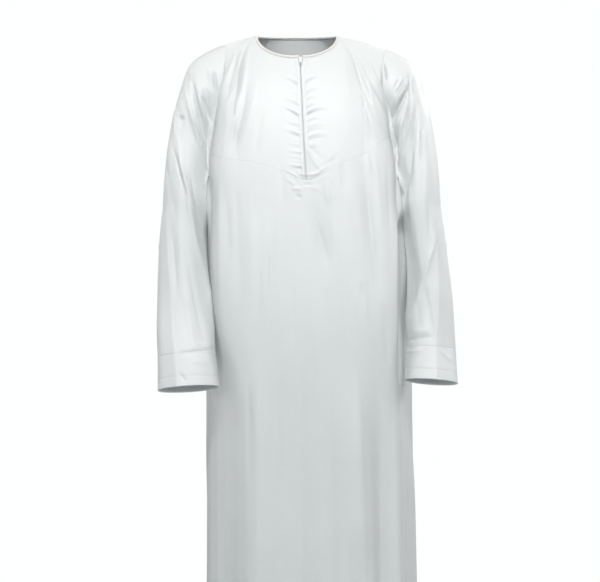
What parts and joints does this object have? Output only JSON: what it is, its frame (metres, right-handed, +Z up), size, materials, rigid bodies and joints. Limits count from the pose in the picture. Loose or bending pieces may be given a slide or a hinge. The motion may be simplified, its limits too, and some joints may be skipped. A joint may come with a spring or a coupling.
{
  "type": "thobe robe",
  "caption": "Long-sleeved, collarless, ankle-length white robe with a concealed zip at the neck, a pointed yoke seam and side gores, hollow as worn.",
  "frame": {"origin": "middle of the neck opening, level with the tops of the shoulders, where the wearer's neck and shoulders hold the robe", "axes": "+Z up, -Y out of the front, +X towards the wearer's left"},
  "size_m": [0.5896, 0.3292, 1.4206],
  "materials": {
    "robe_cloth": "plain white polyester with a soft satin sheen",
    "binding_cloth": "the same cloth cut on the bias, slightly cream, folded over the edge",
    "zip_tape": "white woven tape with a nylon chain",
    "zip_enamel": "white enamelled metal, semi-gloss"
  },
  "bodies": {
    "garment": {"front_yoke_right": "robe_cloth", "front_yoke_left": "robe_cloth", "front_panel": "robe_cloth", "back_panel": "robe_cloth", "side_panel_right": "robe_cloth", "side_panel_left": "robe_cloth", "sleeve_right": "robe_cloth", "sleeve_left": "robe_cloth", "cuff_right": "robe_cloth", "cuff_left": "robe_cloth", "pocket_welt": "robe_cloth", "neck_binding": "binding_cloth", "zip_tape": "zip_tape", "zip_slider": "zip_enamel"},
    "pull": {"zip_pull": "zip_enamel"}
  },
  "joints": [
    {"name": "pull_hinge", "type": "hinge", "parent": "garment", "child": "pull", "pos_m": [0.00094, -0.07133, -0.05954], "axis": [-1, 0, 0], "range_deg": [0, 150]}
  ]
}
